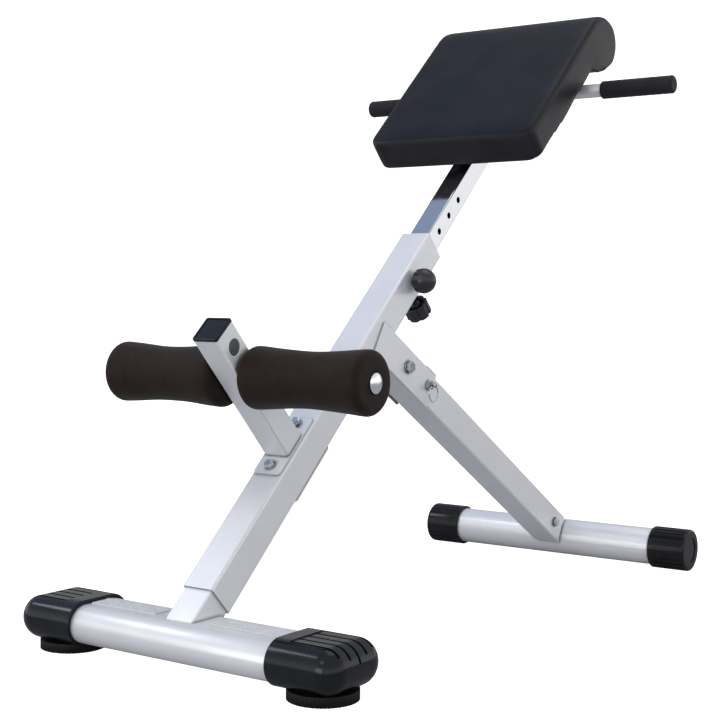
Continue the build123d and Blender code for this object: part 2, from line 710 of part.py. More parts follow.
with BuildPart() as pad_bolts:
    with BuildSketch(off_main(seat_size / 2 - 1.2)):
        with Locations(*[(x, s) for s in carrier_s for x in (-60, 60)]):
            Circle(3.0)
    extrude(amount=carrier_t + 1.2 + 9)
    with BuildSketch(off_main(seat_size / 2 - 1.2 - 4.0)):
        with Locations(*[(x, s) for s in carrier_s for x in (-60, 60)]):
            RegularPolygon(5.8, 6)
    extrude(amount=4.0)
    with BuildSketch(off_main(seat_size / 2 - 1.2)):
        with Locations(*[(x, s) for s in carrier_s for x in (-60, 60)]):
            Circle(7.0)
    extrude(amount=1.2)
save(pad_bolts, "pad_bolts")

# side outline of the cushion: flat slab that ends in a rolled nose
nose_s, nose_m, nose_r = 1158.0, 27.0, 43.5
with BuildPart() as pad_cushion:
    with BuildSketch(side_main(-pad_half)):
        with BuildLine():
            Polyline((1131.0, -9.0), (1089.0, pad_bot), (pad_low, pad_bot), (pad_low, pad_top), (1138.5, pad_top))
            ThreePointArc((1138.5, pad_top), (1186.3, 60.3), (pad_high, 30.0))
            ThreePointArc((pad_high, 30.0), (1193.0, -3.8), (1162.0, -17.0))
            Line((1162.0, -17.0), (1131.0, -9.0))
        make_face()
    extrude(amount=2 * pad_half)
    corner = pad_cushion.edges().filter_by(ndir_axis).filter_by(lambda e: (e.center() - main_o).dot(tdir) < pad_low + 2)
    fillet(corner, radius=22)
    # pocket for the board, open underneath
    with BuildSketch(off_main(pad_bot - 1)):
        with Locations((0, (board_low + board_high) / 2)):
            RectangleRounded(2 * board_half + 1, board_high - board_low + 1, 20.5)
    extrude(amount=board_t + 1.5, mode=Mode.SUBTRACT)
save(pad_cushion, "pad_cushion")

# ================================================================ pop-pin
pin_o = main_o + tdir * pin_s
with BuildPart() as pop_pin:
    with BuildSketch(side_main(seat_size / 2 + 0.3)):
        with Locations((pin_s, 0)):
            Circle(4.0)
    extrude(amount=34 - seat_size / 2 - 0.3)
    chamfer(pop_pin.faces().sort_by(Axis.X)[0].edges(), length=0.8)
save(pop_pin, "pop_pin")

knob_c, knob_r = 42.6, 19.0         # centre and radius of the domed head
with BuildPart() as pop_knob:
    with BuildSketch(Plane(origin=pin_o, x_dir=(1, 0, 0), z_dir=(0, -1, 0))):
        with BuildLine():
            Polyline((34, 0), (34, 4.0), (31.0, 4.0), (31.0, 11.5), (32.6, 16.4), (34.0, 17.6), (knob_c, knob_r))
            ThreePointArc((knob_c, knob_r), (knob_c + knob_r * cos(pi / 4), knob_r * sin(pi / 4)), (knob_c + knob_r, 0))
            Line((knob_c + knob_r, 0), (34, 0))
        make_face()
    revolve(axis=Axis(pin_o, (1, 0, 0)), revolution_arc=360)
    # deep finger notches leave ten lobes round the rim
    with BuildSketch(side_main(30)):
        with Locations((pin_s, 0)):
            with PolarLocations(19.6, 10, start_angle=2):
                SlotOverall(10.4, 5.6)
    extrude(amount=14.0, mode=Mode.SUBTRACT)
save(pop_knob, "pop_knob")

# ---------------------------------------------------------------- clamp knob
clamp_o = main_o + tdir * clamp_s
with BuildPart() as clamp_screw:
    with BuildSketch(off_main(-68)):
        with Locations((0, clamp_s)):
            Circle(4.0)
    extrude(amount=68 - seat_size / 2 - 0.3)
save(clamp_screw, "clamp_screw")

with BuildPart() as clamp_knob:
    with BuildSketch(off_main(-76)):
        with Locations((0, clamp_s)):
            Circle(19.8)
            # narrow valleys leave six broad lobes
            with PolarLocations(21.0, 6):
                Circle(3.6, mode=Mode.SUBTRACT)
    extrude(amount=22)
    fillet(clamp_knob.faces().sort_by(ndir_axis)[0].edges(), radius=2.0)
    # hollow back and central hub
    with BuildSketch(off_main(-54 - 11)):
        with Locations((0, clamp_s)):
            Circle(15.2)
            Circle(8.0, mode=Mode.SUBTRACT)
    extrude(amount=12, mode=Mode.SUBTRACT)
    with BuildSketch(off_main(-68)):
        with Locations((0, clamp_s)):
            Circle(4.0)
    extrude(amount=20, mode=Mode.SUBTRACT)
save(clamp_knob, "clamp_knob")
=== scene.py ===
import json
import math
import bpy
import bmesh
import numpy as np
from mathutils import Matrix, Vector


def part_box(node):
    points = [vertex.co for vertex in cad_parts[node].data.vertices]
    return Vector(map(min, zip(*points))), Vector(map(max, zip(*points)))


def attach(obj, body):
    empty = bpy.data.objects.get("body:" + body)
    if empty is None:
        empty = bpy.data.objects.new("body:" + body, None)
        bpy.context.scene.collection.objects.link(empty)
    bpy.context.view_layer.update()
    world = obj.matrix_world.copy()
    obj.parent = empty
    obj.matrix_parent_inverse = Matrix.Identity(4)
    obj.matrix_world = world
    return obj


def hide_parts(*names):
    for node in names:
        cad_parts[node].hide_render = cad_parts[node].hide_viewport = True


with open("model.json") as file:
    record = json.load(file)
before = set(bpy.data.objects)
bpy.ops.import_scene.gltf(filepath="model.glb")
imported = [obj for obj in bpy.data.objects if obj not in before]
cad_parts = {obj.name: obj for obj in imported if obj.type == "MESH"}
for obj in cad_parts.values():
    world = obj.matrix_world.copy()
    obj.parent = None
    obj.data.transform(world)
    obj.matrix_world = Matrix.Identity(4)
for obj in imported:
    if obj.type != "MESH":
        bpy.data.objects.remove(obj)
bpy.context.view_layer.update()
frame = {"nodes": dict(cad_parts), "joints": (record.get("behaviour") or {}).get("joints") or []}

nodes = frame["nodes"]
joints = {j["name"]: j for j in frame["joints"]}
scene = bpy.context.scene

# ------------------------------------------------------------------ reference lines of the frame
tdir = Vector(joints["seat_height"]["axis"]).normalized()      # up along the main tube
ndir = Vector((0.0, -tdir.z, tdir.y))                          # out of its upper face
MM = 0.001
clamp_point = Vector(joints["clamp_knob_turn"]["pos_m"])       # at s = 608 mm, 60 mm behind the tube axis
main_o = clamp_point - tdir * 0.608 + ndir * 0.060


def main_point(x, s, m):
    """x across, s along the main tube, m out of its upper face, all in mm."""
    return main_o + Vector((x * MM, 0, 0)) + tdir * (s * MM) + ndir * (m * MM)


# ------------------------------------------------------------------ node helpers
def new_mat(name):
    m = bpy.data.materials.new(name)
    m.use_nodes = True
    nt = m.node_tree
    nt.nodes.clear()
    out = nt.nodes.new("ShaderNodeOutputMaterial")
    bsdf = nt.nodes.new("ShaderNodeBsdfPrincipled")
    nt.links.new(bsdf.outputs[0], out.inputs[0])
    return m, nt, bsdf


def node(nt, kind, **props):
    n = nt.nodes.new(kind)
    for k, v in props.items():
        setattr(n, k, v)
    return n


def coords(nt, scale=(1, 1, 1), rot=(0, 0, 0)):
    tc = node(nt, "ShaderNodeTexCoord")
    mp = node(nt, "ShaderNodeMapping")
    mp.inputs["Scale"].default_value = scale
    mp.inputs["Rotation"].default_value = rot
    nt.links.new(tc.outputs["Object"], mp.inputs["Vector"])
    return mp.outputs[0]


def noise(nt, vec, scale, detail=3.0, rough=0.5, distortion=0.0):
    n = node(nt, "ShaderNodeTexNoise")
    n.inputs["Scale"].default_value = scale
    n.inputs["Detail"].default_value = detail
    n.inputs["Roughness"].default_value = rough
    n.inputs["Distortion"].default_value = distortion
    nt.links.new(vec, n.inputs["Vector"])
    return n.outputs["Fac"]


def voronoi(nt, vec, scale, feature="F1", smooth=None):
    n = node(nt, "ShaderNodeTexVoronoi", feature=feature)
    n.inputs["Scale"].default_value = scale
    if smooth is not None and "Smoothness" in n.inputs:
        n.inputs["Smoothness"].default_value = smooth
    nt.links.new(vec, n.inputs["Vector"])
    return n.outputs["Distance"]


def remap(nt, fac, a, b, lo=0.0, hi=1.0):
    n = node(nt, "ShaderNodeMapRange")
    n.inputs["From Min"].default_value = lo
    n.inputs["From Max"].default_value = hi
    n.inputs["To Min"].default_value = a
    n.inputs["To Max"].default_value = b
    nt.links.new(fac, n.inputs["Value"])
    return n.outputs[0]


def mix_colour(nt, fac, a, b):
    n = node(nt, "ShaderNodeMix", data_type="RGBA")
    nt.links.new(fac, n.inputs["Factor"])
    for sock, c in ((n.inputs[6], a), (n.inputs[7], b)):
        if hasattr(c, "is_linked"):
            nt.links.new(c, sock)
        else:
            sock.default_value = (*c, 1)
    return n.outputs[2]


def math_node(nt, op, a, b=None):
    n = node(nt, "ShaderNodeMath", operation=op)
    for sock, v in zip(n.inputs, (a, b)):
        if v is None:
            continue
        if hasattr(v, "is_linked"):
            nt.links.new(v, sock)
        else:
            sock.default_value = v
    return n.outputs[0]


def bump(nt, height, strength, distance, normal=None):
    n = node(nt, "ShaderNodeBump")
    n.inputs["Strength"].default_value = strength
    n.inputs["Distance"].default_value = distance
    nt.links.new(height, n.inputs["Height"])
    if normal is not None:
        nt.links.new(normal, n.inputs["Normal"])
    return n.outputs[0]


def painted_gap_shade(nt, colour, gap_shade_colour, reach=0.005, power=1.6):
    """Painted shade in narrow gaps and between parts: the colour sinks towards a dark tone where an ambient occlusion
    test finds the surface hemmed in.
    """
    ao = node(nt, "ShaderNodeAmbientOcclusion")
    ao.samples = 6
    ao.inputs["Distance"].default_value = reach
    fac = math_node(nt, "POWER", ao.outputs["AO"], power)
    return mix_colour(nt, fac, gap_shade_colour, colour)


# ------------------------------------------------------------------ materials
def paint_material(name, base, dark, rough=(0.34, 0.44), metallic=0.35):
    """Satin silver powder coat: fine metallic flake, orange peel and faint handling marks."""
    m, nt, b = new_mat(name)
    v = coords(nt)
    flake = noise(nt, v, 2600, 2, 0.6)
    cloud = noise(nt, v, 9, 4, 0.55)
    fac = math_node(nt, "ADD", remap(nt, flake, -0.35, 0.35, 0.3, 0.7), remap(nt, cloud, 0.25, 0.75, 0.3, 0.7))
    # painted shade: the flake-mottled colour is darkened where parts meet or the surface is hemmed in
    nt.links.new(painted_gap_shade(nt, mix_colour(nt, fac, dark, base), tuple(c * 0.16 for c in dark)), b.inputs["Base Color"])
    b.inputs["Metallic"].default_value = metallic
    smudge = noise(nt, v, 38, 5, 0.65, 0.4)
    r = math_node(nt, "ADD", remap(nt, smudge, rough[0], rough[1], 0.3, 0.7), remap(nt, flake, -0.05, 0.05, 0.3, 0.7))
    nt.links.new(r, b.inputs["Roughness"])
    peel = noise(nt, v, 420, 2, 0.5)
    n1 = bump(nt, peel, 0.10, 0.00025)
    nt.links.new(bump(nt, flake, 0.07, 0.00008, n1), b.inputs["Normal"])
    return m


def metal_material(name, base, tint, rough, streak=0.0, bump_s=0.06, scale=260, metallic=1.0):
    """Plated steel: slight mottling of colour and gloss, optional drawing lines."""
    m, nt, b = new_mat(name)
    v = coords(nt)
    mott = noise(nt, v, scale, 4, 0.6)
    # painted shade: the mottled plating colour is darkened in gaps and recesses
    nt.links.new(painted_gap_shade(nt, mix_colour(nt, remap(nt, mott, 0, 1, 0.3, 0.7), base, tint), tuple(c * 0.10 for c in tint), 0.003),
                 b.inputs["Base Color"])
    b.inputs["Metallic"].default_value = metallic
    nt.links.new(remap(nt, noise(nt, v, scale * 0.35, 5, 0.65), rough[0], rough[1], 0.3, 0.7), b.inputs["Roughness"])
    h = noise(nt, v, scale * 2.3, 3, 0.5)
    if streak:
        long = coords(nt, scale=(1, streak, streak))
        h = noise(nt, long, scale * 4, 2, 0.5)
    nt.links.new(bump(nt, h, bump_s, 0.0001), b.inputs["Normal"])
    return m


def plastic_material(name, base, worn, rough, grain_scale, grain, coat=0.0, spec=0.5):
    """Moulded black plastic: fine spark texture, faint cloudiness and dust."""
    m, nt, b = new_mat(name)
    v = coords(nt)
    cloud = noise(nt, v, 22, 5, 0.6)
    nt.links.new(mix_colour(nt, remap(nt, cloud, 0, 1, 0.35, 0.75), base, worn), b.inputs["Base Color"])
    nt.links.new(remap(nt, noise(nt, v, 55, 5, 0.7), rough[0], rough[1], 0.3, 0.7), b.inputs["Roughness"])
    b.inputs["Specular IOR Level"].default_value = spec
    if coat:
        b.inputs["Coat Weight"].default_value = coat
        b.inputs["Coat Roughness"].default_value = 0.12
    g = noise(nt, v, grain_scale, 3, 0.6)
    flow = noise(nt, v, 60, 2, 0.5)
    n1 = bump(nt, flow, 0.05, 0.0006)
    nt.links.new(bump(nt, g, grain, 0.00012, n1), b.inputs["Normal"])
    return m


def foam_material(name, base, warm, pore=1.0, rough=(0.55, 0.70), sheen=0.06):
    """Skinned closed-cell foam: tiny pores, soft dents, slight brown cast."""
    m, nt, b = new_mat(name)
    v = coords(nt)
    cloud = noise(nt, v, 26, 5, 0.6, 0.3)
    speck = noise(nt, v, 900, 2, 0.6)
    fac = math_node(nt, "ADD", remap(nt, cloud, 0.0, 0.8, 0.3, 0.7), remap(nt, speck, -0.2, 0.2, 0.3, 0.7))
    nt.links.new(mix_colour(nt, fac, base, warm), b.inputs["Base Color"])
    nt.links.new(remap(nt, noise(nt, v, 120, 4, 0.6), rough[0], rough[1], 0.3, 0.7), b.inputs["Roughness"])
    b.inputs["Specular IOR Level"].default_value = 0.11
    b.inputs["Sheen Weight"].default_value = sheen
    b.inputs["Sheen Roughness"].default_value = 0.5
    cells = voronoi(nt, v, 950 / pore)
    dents = noise(nt, v, 45, 3, 0.5)
    n1 = bump(nt, dents, 0.12, 0.0012)
    nt.links.new(bump(nt, cells, 0.28, 0.00022 * pore, n1), b.inputs["Normal"])
    return m


def leather_material(name, top, side, rough=(0.36, 0.50)):
    """Grained synthetic leather: pebble cells with creases between them, broad soft wrinkles. Its colour carries
    painted light: faces turned towards ndir get the darker top tone and steeper faces the lighter side tone, as they
    would look when lit, and the creases are darkened with painted shade.
    """
    m, nt, b = new_mat(name)
    v = coords(nt)
    pebble = voronoi(nt, v, 620, "SMOOTH_F1", 0.35)
    crease_shade_mask = voronoi(nt, v, 620, "DISTANCE_TO_EDGE")
    fine = noise(nt, v, 1700, 3, 0.6)
    broad = noise(nt, v, 14, 3, 0.5, 0.4)
    geo = node(nt, "ShaderNodeNewGeometry")
    dot = node(nt, "ShaderNodeVectorMath", operation="DOT_PRODUCT")
    nt.links.new(geo.outputs["Normal"], dot.inputs[0])
    dot.inputs[1].default_value = ndir
    # painted light: how far a face turns towards ndir picks between the darker top tone and the lighter side tone
    painted_facing_mix = remap(nt, dot.outputs["Value"], 0.0, 1.0, 0.35, 0.9)
    painted_light_tone = mix_colour(nt, painted_facing_mix, side, top)
    # painted shade: the creases between the pebble cells are darkened towards a dimmer side tone, their width varied
    # by the broad noise
    shaded_grain_tone = mix_colour(nt, remap(nt, math_node(nt, "ADD", crease_shade_mask, remap(nt, broad, -0.1, 0.1, 0.3, 0.7)), 0.0, 1.0, 0.0, 0.14),
                       tuple(c * 0.55 for c in side), painted_light_tone)
    nt.links.new(shaded_grain_tone, b.inputs["Base Color"])
    r = math_node(nt, "ADD", remap(nt, pebble, rough[0], rough[1], 0.0, 0.6), remap(nt, broad, -0.04, 0.04, 0.3, 0.7))
    nt.links.new(r, b.inputs["Roughness"])
    b.inputs["Specular IOR Level"].default_value = 0.16
    n1 = bump(nt, broad, 0.10, 0.004)
    n2 = bump(nt, math_node(nt, "MULTIPLY", pebble, -1.0), 0.26, 0.0003, n1)
    nt.links.new(bump(nt, fine, 0.10, 0.0001, n2), b.inputs["Normal"])
    return m


def strip_material(name, base, dark):
    """Pale anti-slip tape: raised grit on a matt ground."""
    m, nt, b = new_mat(name)
    v = coords(nt)
    grit = voronoi(nt, v, 520)
    patch = noise(nt, v, 60, 4, 0.6)
    fac = math_node(nt, "MULTIPLY", remap(nt, grit, 0.2, 1.0, 0.0, 0.5), remap(nt, patch, 0.6, 1.0, 0.3, 0.7))
    nt.links.new(mix_colour(nt, fac, dark, base), b.inputs["Base Color"])
    nt.links.new(remap(nt, patch, 0.55, 0.75, 0.3, 0.7), b.inputs["Roughness"])
    nt.links.new(bump(nt, grit, 0.5, 0.0006), b.inputs["Normal"])
    return m


def board_material(name):
    """Black plywood backing with a faint grain."""
    m, nt, b = new_mat(name)
    v = coords(nt, scale=(1, 6, 6))
    g = noise(nt, v, 40, 6, 0.65, 1.2)
    nt.links.new(mix_colour(nt, remap(nt, g, 0, 1, 0.3, 0.7), (0.012, 0.011, 0.010), (0.035, 0.030, 0.026)), b.inputs["Base Color"])
    nt.links.new(remap(nt, g, 0.55, 0.8, 0.3, 0.7), b.inputs["Roughness"])
    nt.links.new(bump(nt, g, 0.2, 0.0004), b.inputs["Normal"])
    return m


paint = paint_material("paint_silver", (0.83, 0.835, 0.858), (0.72, 0.725, 0.75))
chrome = metal_material("chrome_plate", (0.60, 0.605, 0.62), (0.55, 0.56, 0.58), (0.06, 0.12), bump_s=0.015, scale=120)
cap_chrome = metal_material("chrome_cap", (0.88, 0.88, 0.89), (0.80, 0.80, 0.82), (0.18, 0.30), bump_s=0.05, scale=200)
zinc = metal_material("zinc_plate", (0.72, 0.73, 0.76), (0.36, 0.39, 0.44), (0.12, 0.24), bump_s=0.16)
gloss = plastic_material("plastic_gloss", (0.0065, 0.0072, 0.0095), (0.012, 0.013, 0.016), (0.10, 0.18), 700, 0.04, spec=0.26)
rib_plastic = plastic_material("plastic_rib", (0.0075, 0.0077, 0.009), (0.013, 0.013, 0.015), (0.14, 0.24), 900, 0.08, spec=0.22)
matte = plastic_material("plastic_matte", (0.004, 0.004, 0.0042), (0.008, 0.008, 0.0085), (0.42, 0.58), 1300, 0.25, spec=0.22)
knob_plastic = plastic_material("plastic_knob", (0.013, 0.013, 0.015), (0.022, 0.022, 0.024), (0.30, 0.42), 1500, 0.18)
foam = foam_material("foam_brown_black", (0.0130, 0.0068, 0.0048), (0.0200, 0.0112, 0.0080))
grip_foam = foam_material("foam_grip_black", (0.015, 0.015, 0.0180), (0.024, 0.024, 0.0280), pore=0.8)
# painted light: the navy tone goes on level faces and the lighter charcoal tone on the sides, as if lit from below and
# in front
leather = leather_material("leather_black", (0.0042, 0.0054, 0.0096), (0.0215, 0.0205, 0.0245), (0.30, 0.42))
strip = strip_material("strip_pale", (0.74, 0.75, 0.76), (0.52, 0.53, 0.55))
board = board_material("board_black")

finish_of = {}
for n in ("front_stabiliser stub_post main_tube roller_post post_base_plate post_back_plate bracket_plate_left "
          "bracket_plate_right stop_bridge rear_leg rear_stub rear_stabiliser pad_carriers handlebar").split():
    finish_of[n] = paint
for n in ("foot_weld_nuts pin_ferrule clamp_weld_nut post_bolts post_nuts post_washers pivot_bolt pivot_washers pivot_nut "
          "plunger_housing lock_plunger pull_ring rear_bolt rear_washers rear_nut pad_bolts pop_pin clamp_screw roller_axle").split():
    finish_of[n] = zinc
finish_of["seat_post"] = chrome
for n in "axle_cap_left axle_cap_right".split():
    finish_of[n] = cap_chrome
for n in "front_cap_left front_cap_right post_end_cap".split():
    finish_of[n] = gloss
for n in "rear_cap_left rear_cap_right".split():
    finish_of[n] = rib_plastic
for n in "levelling_foot_left levelling_foot_right guide_bush lower_glide post_top_plug roller_sleeve_left roller_sleeve_right".split():
    finish_of[n] = matte
for n in "pop_knob clamp_knob".split():
    finish_of[n] = knob_plastic
finish_of["pad_board"] = board
finish_of["grip_strips"] = strip
for n, o in nodes.items():
    m = finish_of.get(n, matte)
    o.data.materials.clear()
    o.data.materials.append(m)

# the bore of the chrome post is bare, dark steel
raw = metal_material("raw_steel", (0.030, 0.029, 0.028), (0.018, 0.017, 0.016), (0.55, 0.75), metallic=0.3)
post = nodes["seat_post"].data
post.materials.append(raw)
for p in post.polygons:
    c = p.center - main_o
    if abs(c.x) < 0.0169 and abs(c.dot(ndir)) < 0.0169:
        p.material_index = 1

# small eased edges on the hard parts, so that they catch the light
edge = {"rear_leg": 0, "main_tube": 0, "rear_stub": 0, "front_cap_left": 0, "front_cap_right": 0, "pull_ring": 0, "levelling_foot_left": 0.3, "levelling_foot_right": 0.3,
        "rear_cap_left": 0.3, "rear_cap_right": 0.3, "seat_post": 0.2, "post_washers": 0.2, "rear_washers": 0.2,
        "pivot_washers": 0.3, "grip_strips": 0.2}
for n, o in nodes.items():
    w = edge.get(n, 0.4)
    if w <= 0:
        continue
    weld = o.modifiers.new("weld", "WELD")
    weld.merge_threshold = 0.00002
    bev = o.modifiers.new("ease", "BEVEL")
    bev.width = w * MM
    bev.segments = 2
    bev.limit_method = "ANGLE"
    bev.angle_limit = math.radians(38)
    bev.harden_normals = True


# ------------------------------------------------------------------ mesh helpers
def make_object(name, verts, faces, mat, smooth=True):
    me = bpy.data.meshes.new(name)
    me.from_pydata([tuple(v) for v in verts], [], faces)
    me.validate()
    me.update()
    if smooth:
        me.polygons.foreach_set("use_smooth", [True] * len(me.polygons))
    me.materials.append(mat)
    o = bpy.data.objects.new(name, me)
    scene.collection.objects.link(o)
    return o


def lathe(name, profile, centre, axis_sign, mat, seg=96, wobble=0.0, seed=0):
    """Closed surface of revolution about X. profile: (x, r) pairs in mm, from centre.x = 0 outwards."""
    rng = np.random.default_rng(seed)
    ph = rng.uniform(0, 2 * math.pi, 6)
    verts, faces = [], []
    n = len(profile)
    for i, (x, r) in enumerate(profile):
        for k in range(seg):
            a = 2 * math.pi * k / seg
            w = 0.0
            if wobble:
                w = wobble * (math.sin(2 * a + ph[0] + x * 0.03) + math.sin(3 * a + ph[1] - x * 0.05)
                              + math.sin(x * 0.11 + ph[2]) + 0.6 * math.sin(5 * a + ph[3] + x * 0.09)) / 3.6
                w *= min(1.0, max(0.0, (r - 16) / 10))
            rr = (r + w) * MM
            verts.append(centre + Vector((axis_sign * x * MM, rr * math.cos(a), rr * math.sin(a))))
    for i in range(n):
        j = (i + 1) % n
        for k in range(seg):
            l = (k + 1) % seg
            q = (i * seg + k, i * seg + l, j * seg + l, j * seg + k)
            faces.append(q if axis_sign > 0 else q[::-1])
    o = make_object(name, verts, faces, mat)
    bm = bmesh.new()
    bm.from_mesh(o.data)
    bmesh.ops.recalc_face_normals(bm, faces=bm.faces)
    bm.to_mesh(o.data)
    bm.free()
    return o


def arc(cx, cy, r, a0, a1, n):
    return [(cx + r * math.cos(math.radians(a0 + (a1 - a0) * i / n)), cy + r * math.sin(math.radians(a0 + (a1 - a0) * i / n)))
            for i in range(n + 1)]


# ------------------------------------------------------------------ foam rollers
r_in, r_out, r_max, r_min, r_edge = 22.1, 209.7, 41.2, 36.2, 9.5
roll_c = Vector(joints["roller_right_spin"]["pos_m"])
roll_c.x = 0


def roller_profile():
    mid, half = (r_in + r_out) / 2, (r_out - r_in) / 2 - r_edge
    p = [(r_in, 13.1), (r_in, 18), (r_in, 24)]
    p += arc(r_in + r_edge, r_max - r_edge, r_edge, 180, 90, 12)
    xs = np.linspace(-1, 1, 41)[1:-1]
    for q in xs:
        # waisted foam: full towards both ends, slim in the middle
        w = 0.5 + 0.5 * math.cos(math.pi * q)
        p.append((mid + half * q, r_max - (r_max - r_min) * w ** 0.66))
    p += arc(r_out - r_edge, r_max - r_edge, r_edge, 90, 0, 12)
    p += [(r_out, 24), (r_out, 18), (r_out, 13.1)]
    return p


for side, sgn in (("left", -1), ("right", 1)):
    o = lathe("foam_roller_%s_soft" % side, roller_profile(), roll_c, sgn, foam, seg=112, wobble=0.35, seed=3 if sgn > 0 else 8)
    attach(o, "roller_%s" % side)
    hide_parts("foam_roller_%s" % side)

# ------------------------------------------------------------------ foam hand grips
g_lo, g_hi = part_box("grip_right")
bar_lo, bar_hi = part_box("handlebar")
bar_c = (bar_lo + bar_hi) / 2
bar_c.x = 0
g0, g1, gr = g_lo.x / MM, g_hi.x / MM, 14.5


def grip_profile():
    p = [(g0, 11.25), (g0 + 0.3, 13.2)] + arc(g0 + 2.0, gr - 2.0, 2.0, 160, 90, 5)
    for q in np.linspace(g0 + 6, g1 - 8, 26):
        p.append((q, gr - 0.12 + 0.12 * math.cos(q * 0.9)))
    p += arc(g1 - 4.5, gr - 4.5, 4.5, 90, 0, 8)
    p += [(g1 + 0.0, 7.0), (g1 - 0.4, 3.5), (g1 - 0.5, 0.4), (g1 - 2.8, 0.4), (g1 - 3.0, 11.25)]
    return p


for side, sgn in (("left", -1), ("right", 1)):
    o = lathe("grip_%s_soft" % side, grip_profile(), bar_c, sgn, grip_foam, seg=64, wobble=0.12, seed=5 if sgn > 0 else 6)
    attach(o, "seat")
    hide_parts("grip_%s" % side)

# ------------------------------------------------------------------ pad cushion
half_x, low_s, bot_m, top_m, roll = 149.6, 844.8, 25.3, 79.6, 7.5


def three_arc(p, q, r, n):
    (ax, ay), (bx, by), (cx, cy) = p, q, r
    d = 2 * (ax * (by - cy) + bx * (cy - ay) + cx * (ay - by))
    ux = ((ax * ax + ay * ay) * (by - cy) + (bx * bx + by * by) * (cy - ay) + (cx * cx + cy * cy) * (ay - by)) / d
    uy = ((ax * ax + ay * ay) * (cx - bx) + (bx * bx + by * by) * (ax - cx) + (cx * cx + cy * cy) * (bx - ax)) / d
    rad = math.hypot(ax - ux, ay - uy)
    a0, a1 = (math.atan2(y - uy, x - ux) for x, y in (p, r))
    while a1 - a0 > math.pi:
        a1 -= 2 * math.pi
    while a1 - a0 < -math.pi:
        a1 += 2 * math.pi
    return [(ux + rad * math.cos(a0 + (a1 - a0) * i / n), uy + rad * math.sin(a0 + (a1 - a0) * i / n)) for i in range(n + 1)]


def rounded(points, radii, n=7):
    """Polygon with its corners rounded; radius 0 leaves a point alone."""
    out_p = []
    k = len(points)
    for i, (p, r) in enumerate(zip(points, radii)):
        p = np.array(p)
        if r <= 0:
            out_p.append(p)
            continue
        u = np.array(points[i - 1]) - p
        v = np.array(points[(i + 1) % k]) - p
        u, v = u / np.linalg.norm(u), v / np.linalg.norm(v)
        ang = math.acos(max(-1, min(1, float(u @ v))))
        t = r / math.tan(ang / 2)
        c = p + (u + v) / np.linalg.norm(u + v) * r / math.sin(ang / 2)
        a, b_ = p + u * t - c, p + v * t - c
        for j in range(n + 1):
            w = a * (1 - j / n) + b_ * (j / n)
            out_p.append(c + w / np.linalg.norm(w) * r)
    return out_p


nose = three_arc((1141.0, top_m), (1188.6, 60.6), (1206.6, 30.0), 12)[1:]
nose += three_arc((1206.6, 30.0), (1194.5, -3.9), (1162.5, -17.0), 12)[1:]
corners = [(1131.0, -8.6), (1089.2, bot_m), (low_s, bot_m), (low_s, top_m), (1141.0, top_m)]
outline = rounded(corners + nose, [5.0, 7.0, 5.5, roll, 0.0] + [0.0] * len(nose))
ol = np.array(outline)
nxt, prv = np.roll(ol, -1, 0), np.roll(ol, 1, 0)
tan2 = nxt - prv
tan2 /= np.linalg.norm(tan2, axis=1, keepdims=True)
area2 = 0.5 * np.sum(ol[:, 0] * nxt[:, 1] - nxt[:, 0] * ol[:, 1])
inward = np.stack([-tan2[:, 1], tan2[:, 0]], 1) * (1 if area2 > 0 else -1)
rings = []
for sgn in (-1, 1):
    side_rings = []
    for j in range(7):
        ph = math.radians(90 * j / 6)
        side_rings.append((sgn * (half_x - roll + roll * math.sin(ph)), roll * (1 - math.cos(ph))))
    rings.append(side_rings)
order = list(reversed(rings[0])) + rings[1]
verts, faces = [], []
n_out = len(ol)
for x, inset in order:
    q2 = ol + inward * min(inset, 7.4)
    verts += [main_point(x, a_, b_) for a_, b_ in q2]
for i in range(len(order) - 1):
    for j in range(n_out):
        l = (j + 1) % n_out
        faces.append((i * n_out + j, i * n_out + l, (i + 1) * n_out + l, (i + 1) * n_out + j))
faces.append(tuple(range(n_out)))
faces.append(tuple(range(len(order) * n_out - 1, (len(order) - 1) * n_out - 1, -1)))
pad = make_object("pad_cushion_soft", verts, faces, leather)
bm = bmesh.new()
bm.from_mesh(pad.data)
bmesh.ops.recalc_face_normals(bm, faces=bm.faces)
bm.to_mesh(pad.data)
bm.free()


def bake_modifiers(o):
    dg = bpy.context.evaluated_depsgraph_get()
    me = bpy.data.meshes.new_from_object(o.evaluated_get(dg))
    old = o.data
    o.modifiers.clear()
    o.data = me
    bpy.data.meshes.remove(old)
    return o


rm = pad.modifiers.new("remesh", "REMESH")
rm.mode = "VOXEL"
rm.voxel_size = 0.0042
sm = pad.modifiers.new("soften", "SMOOTH")
sm.factor = 0.5
sm.iterations = 3
bake_modifiers(pad)


def read(o):
    a = np.empty(len(o.data.vertices) * 3)
    o.data.vertices.foreach_get("co", a)
    return a.reshape(-1, 3)


def write(o, a):
    o.data.vertices.foreach_set("co", a.astype(np.float32).ravel())
    o.data.update()


T, N, O = np.array(tdir), np.array(ndir), np.array(main_o)


def to_pad(a):
    d = a - O
    return np.stack([d[:, 0], d @ T, d @ N], 1) * 1000


def from_pad(q):
    q = q / 1000
    return O + np.outer(q[:, 0], [1, 0, 0]) + np.outer(q[:, 1], T) + np.outer(q[:, 2], N)


# rounded lower corners: the square corner is squeezed onto a circle
q = to_pad(read(pad))
R = 23.0
cx, cs = half_x - R, low_s + R
dx, ds = np.abs(q[:, 0]) - cx, cs - q[:, 1]
inside = (dx > 0) & (ds > 0)
big, hyp = np.maximum(dx, ds), np.hypot(dx, ds) + 1e-9
f = np.where(inside, big / hyp, 1.0)
q[:, 0] = np.where(inside, np.sign(q[:, 0]) * (cx + dx * f), q[:, 0])
q[:, 1] = np.where(inside, cs - ds * f, q[:, 1])
write(pad, from_pad(q))
rest = read(pad).copy()

# the underside lies on the board, so it is held
held = pad.vertex_groups.new(name="held")
qq = to_pad(rest)
idx = np.where((qq[:, 2] < bot_m + 3.5) & (qq[:, 1] < 1086) & (np.abs(qq[:, 0]) < half_x - 6) & (qq[:, 1] > low_s + 6))[0]
held.add([int(i) for i in idx], 1.0, "REPLACE")

